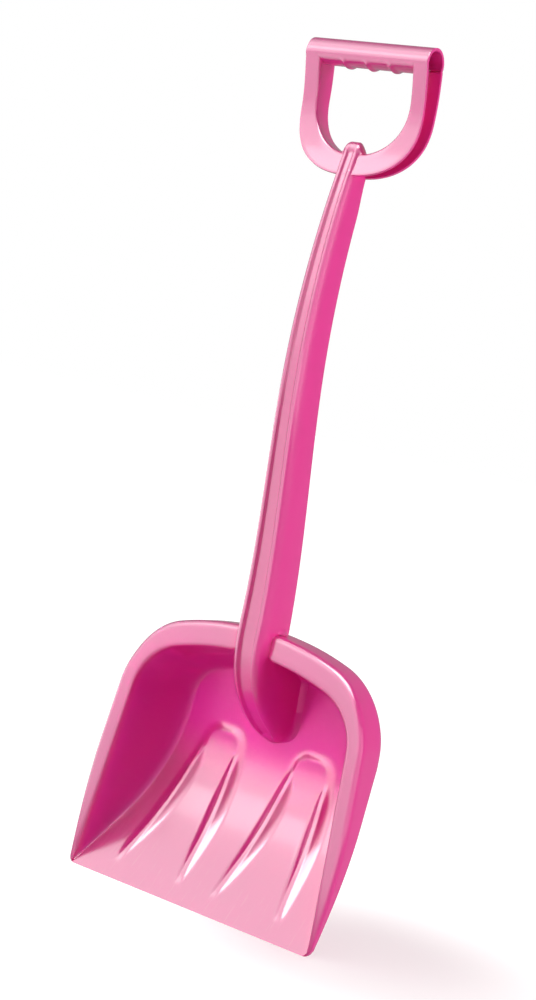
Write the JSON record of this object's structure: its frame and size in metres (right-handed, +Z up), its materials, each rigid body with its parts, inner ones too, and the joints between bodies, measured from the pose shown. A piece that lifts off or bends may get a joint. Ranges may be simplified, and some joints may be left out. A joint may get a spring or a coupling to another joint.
{
  "type": "childrens spade",
  "caption": "Moulded plastic sand and snow spade for a child: wide deep scoop with a turned-back rim, bent grooved shaft seated in the scoop, and a D-shaped hand grip",
  "frame": {"origin": "Middle of the cutting edge, in the middle of its thickness: the spade stands upright on that edge at Z = 0.", "axes": "+Z up the spade to the hand bar, -Y out of the open front of the scoop, +X along the cutting edge to the right as seen from the front. X = 0 is the mirror plane."},
  "size_m": [0.2196, 0.0827, 0.6125],
  "materials": {
    "blade_plastic": "glossy pink moulded polypropylene",
    "shaft_plastic": "glossy pink moulded polypropylene",
    "grip_plastic": "glossy pink moulded polypropylene"
  },
  "bodies": {
    "root": {"blade": "blade_plastic", "shaft": "shaft_plastic", "d_grip": "grip_plastic"}
  },
  "joints": []
}
